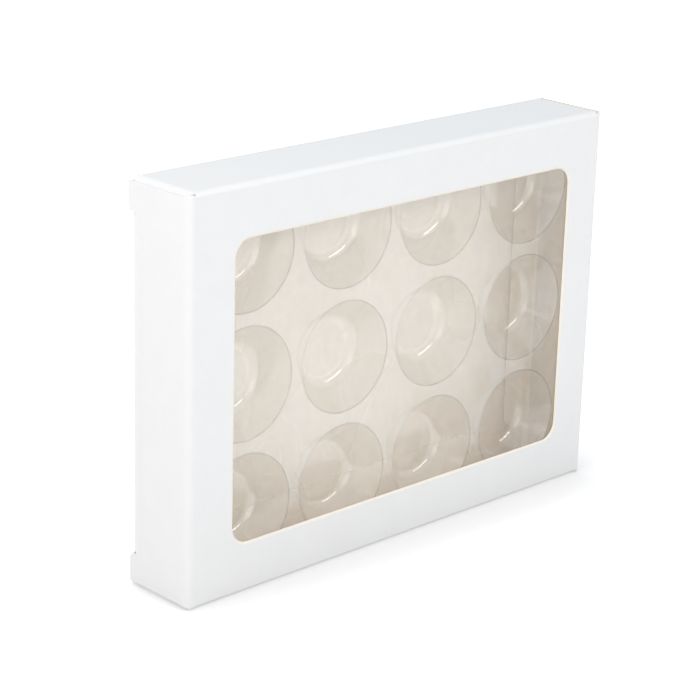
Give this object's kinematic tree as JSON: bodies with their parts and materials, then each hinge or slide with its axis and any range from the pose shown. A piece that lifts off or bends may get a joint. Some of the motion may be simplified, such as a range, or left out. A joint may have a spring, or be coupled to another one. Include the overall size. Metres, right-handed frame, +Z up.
{
  "type": "chocolate box",
  "caption": "White folding window carton with hinged tuck ends, clear window film and a clear formed tray of round cups for chocolates.",
  "frame": {"origin": "middle of the resting face, under the centre of the box", "axes": "+X along the width, +Y from the window panel to the back panel, +Z up"},
  "size_m": [0.18, 0.028, 0.132],
  "materials": {
    "white_board": "satin",
    "clear_tray": "clear",
    "clear_film": "clear",
    "dried_glue": "matte"
  },
  "bodies": {
    "carton": {"front_panel": "white_board", "top_panel": "white_board", "back_panel": "white_board", "bottom_panel": "white_board", "glue_flap": "white_board", "seam_adhesive": "dried_glue", "window_film": "clear_film", "window_adhesive": "dried_glue", "insert_tray": "clear_tray"},
    "left_end": {"left_closure": "white_board"},
    "left_tuck": {"left_tuck_flap": "white_board"},
    "left_top_dust": {"left_top_dust_flap": "white_board"},
    "left_bottom_dust": {"left_bottom_dust_flap": "white_board"},
    "right_end": {"right_closure": "white_board"},
    "right_tuck": {"right_tuck_flap": "white_board"},
    "right_top_dust": {"right_top_dust_flap": "white_board"},
    "right_bottom_dust": {"right_bottom_dust_flap": "white_board"}
  },
  "joints": [
    {"name": "left_closure_hinge", "type": "hinge", "parent": "carton", "child": "left_end", "pos_m": [-0.089, -0.013, 0.066], "axis": [0, 0, 1], "range_deg": [0, 110]},
    {"name": "left_tuck_hinge", "type": "hinge", "parent": "left_end", "child": "left_tuck", "pos_m": [-0.089, 0.011, 0.066], "axis": [0, 0, 1], "range_deg": [0, 22]},
    {"name": "left_top_dust_hinge", "type": "hinge", "parent": "carton", "child": "left_top_dust", "pos_m": [-0.0883, 0, 0.131], "axis": [0, 1, 0], "range_deg": [0, 55]},
    {"name": "left_bottom_dust_hinge", "type": "hinge", "parent": "carton", "child": "left_bottom_dust", "pos_m": [-0.0883, 0, 0.001], "axis": [0, -1, 0], "range_deg": [0, 55]},
    {"name": "right_closure_hinge", "type": "hinge", "parent": "carton", "child": "right_end", "pos_m": [0.089, -0.013, 0.066], "axis": [0, 0, -1], "range_deg": [0, 110]},
    {"name": "right_tuck_hinge", "type": "hinge", "parent": "right_end", "child": "right_tuck", "pos_m": [0.089, 0.011, 0.066], "axis": [0, 0, -1], "range_deg": [0, 22]},
    {"name": "right_top_dust_hinge", "type": "hinge", "parent": "carton", "child": "right_top_dust", "pos_m": [0.0883, 0, 0.131], "axis": [0, -1, 0], "range_deg": [0, 55]},
    {"name": "right_bottom_dust_hinge", "type": "hinge", "parent": "carton", "child": "right_bottom_dust", "pos_m": [0.0883, 0, 0.001], "axis": [0, 1, 0], "range_deg": [0, 55]}
  ],
  "couplings": [
    {"joint": "left_tuck_hinge", "follows": "left_closure_hinge", "ratio": 0.2},
    {"joint": "left_top_dust_hinge", "follows": "left_closure_hinge", "ratio": 0.5},
    {"joint": "left_bottom_dust_hinge", "follows": "left_closure_hinge", "ratio": 0.5},
    {"joint": "right_tuck_hinge", "follows": "right_closure_hinge", "ratio": 0.2},
    {"joint": "right_top_dust_hinge", "follows": "right_closure_hinge", "ratio": 0.5},
    {"joint": "right_bottom_dust_hinge", "follows": "right_closure_hinge", "ratio": 0.5}
  ]
}
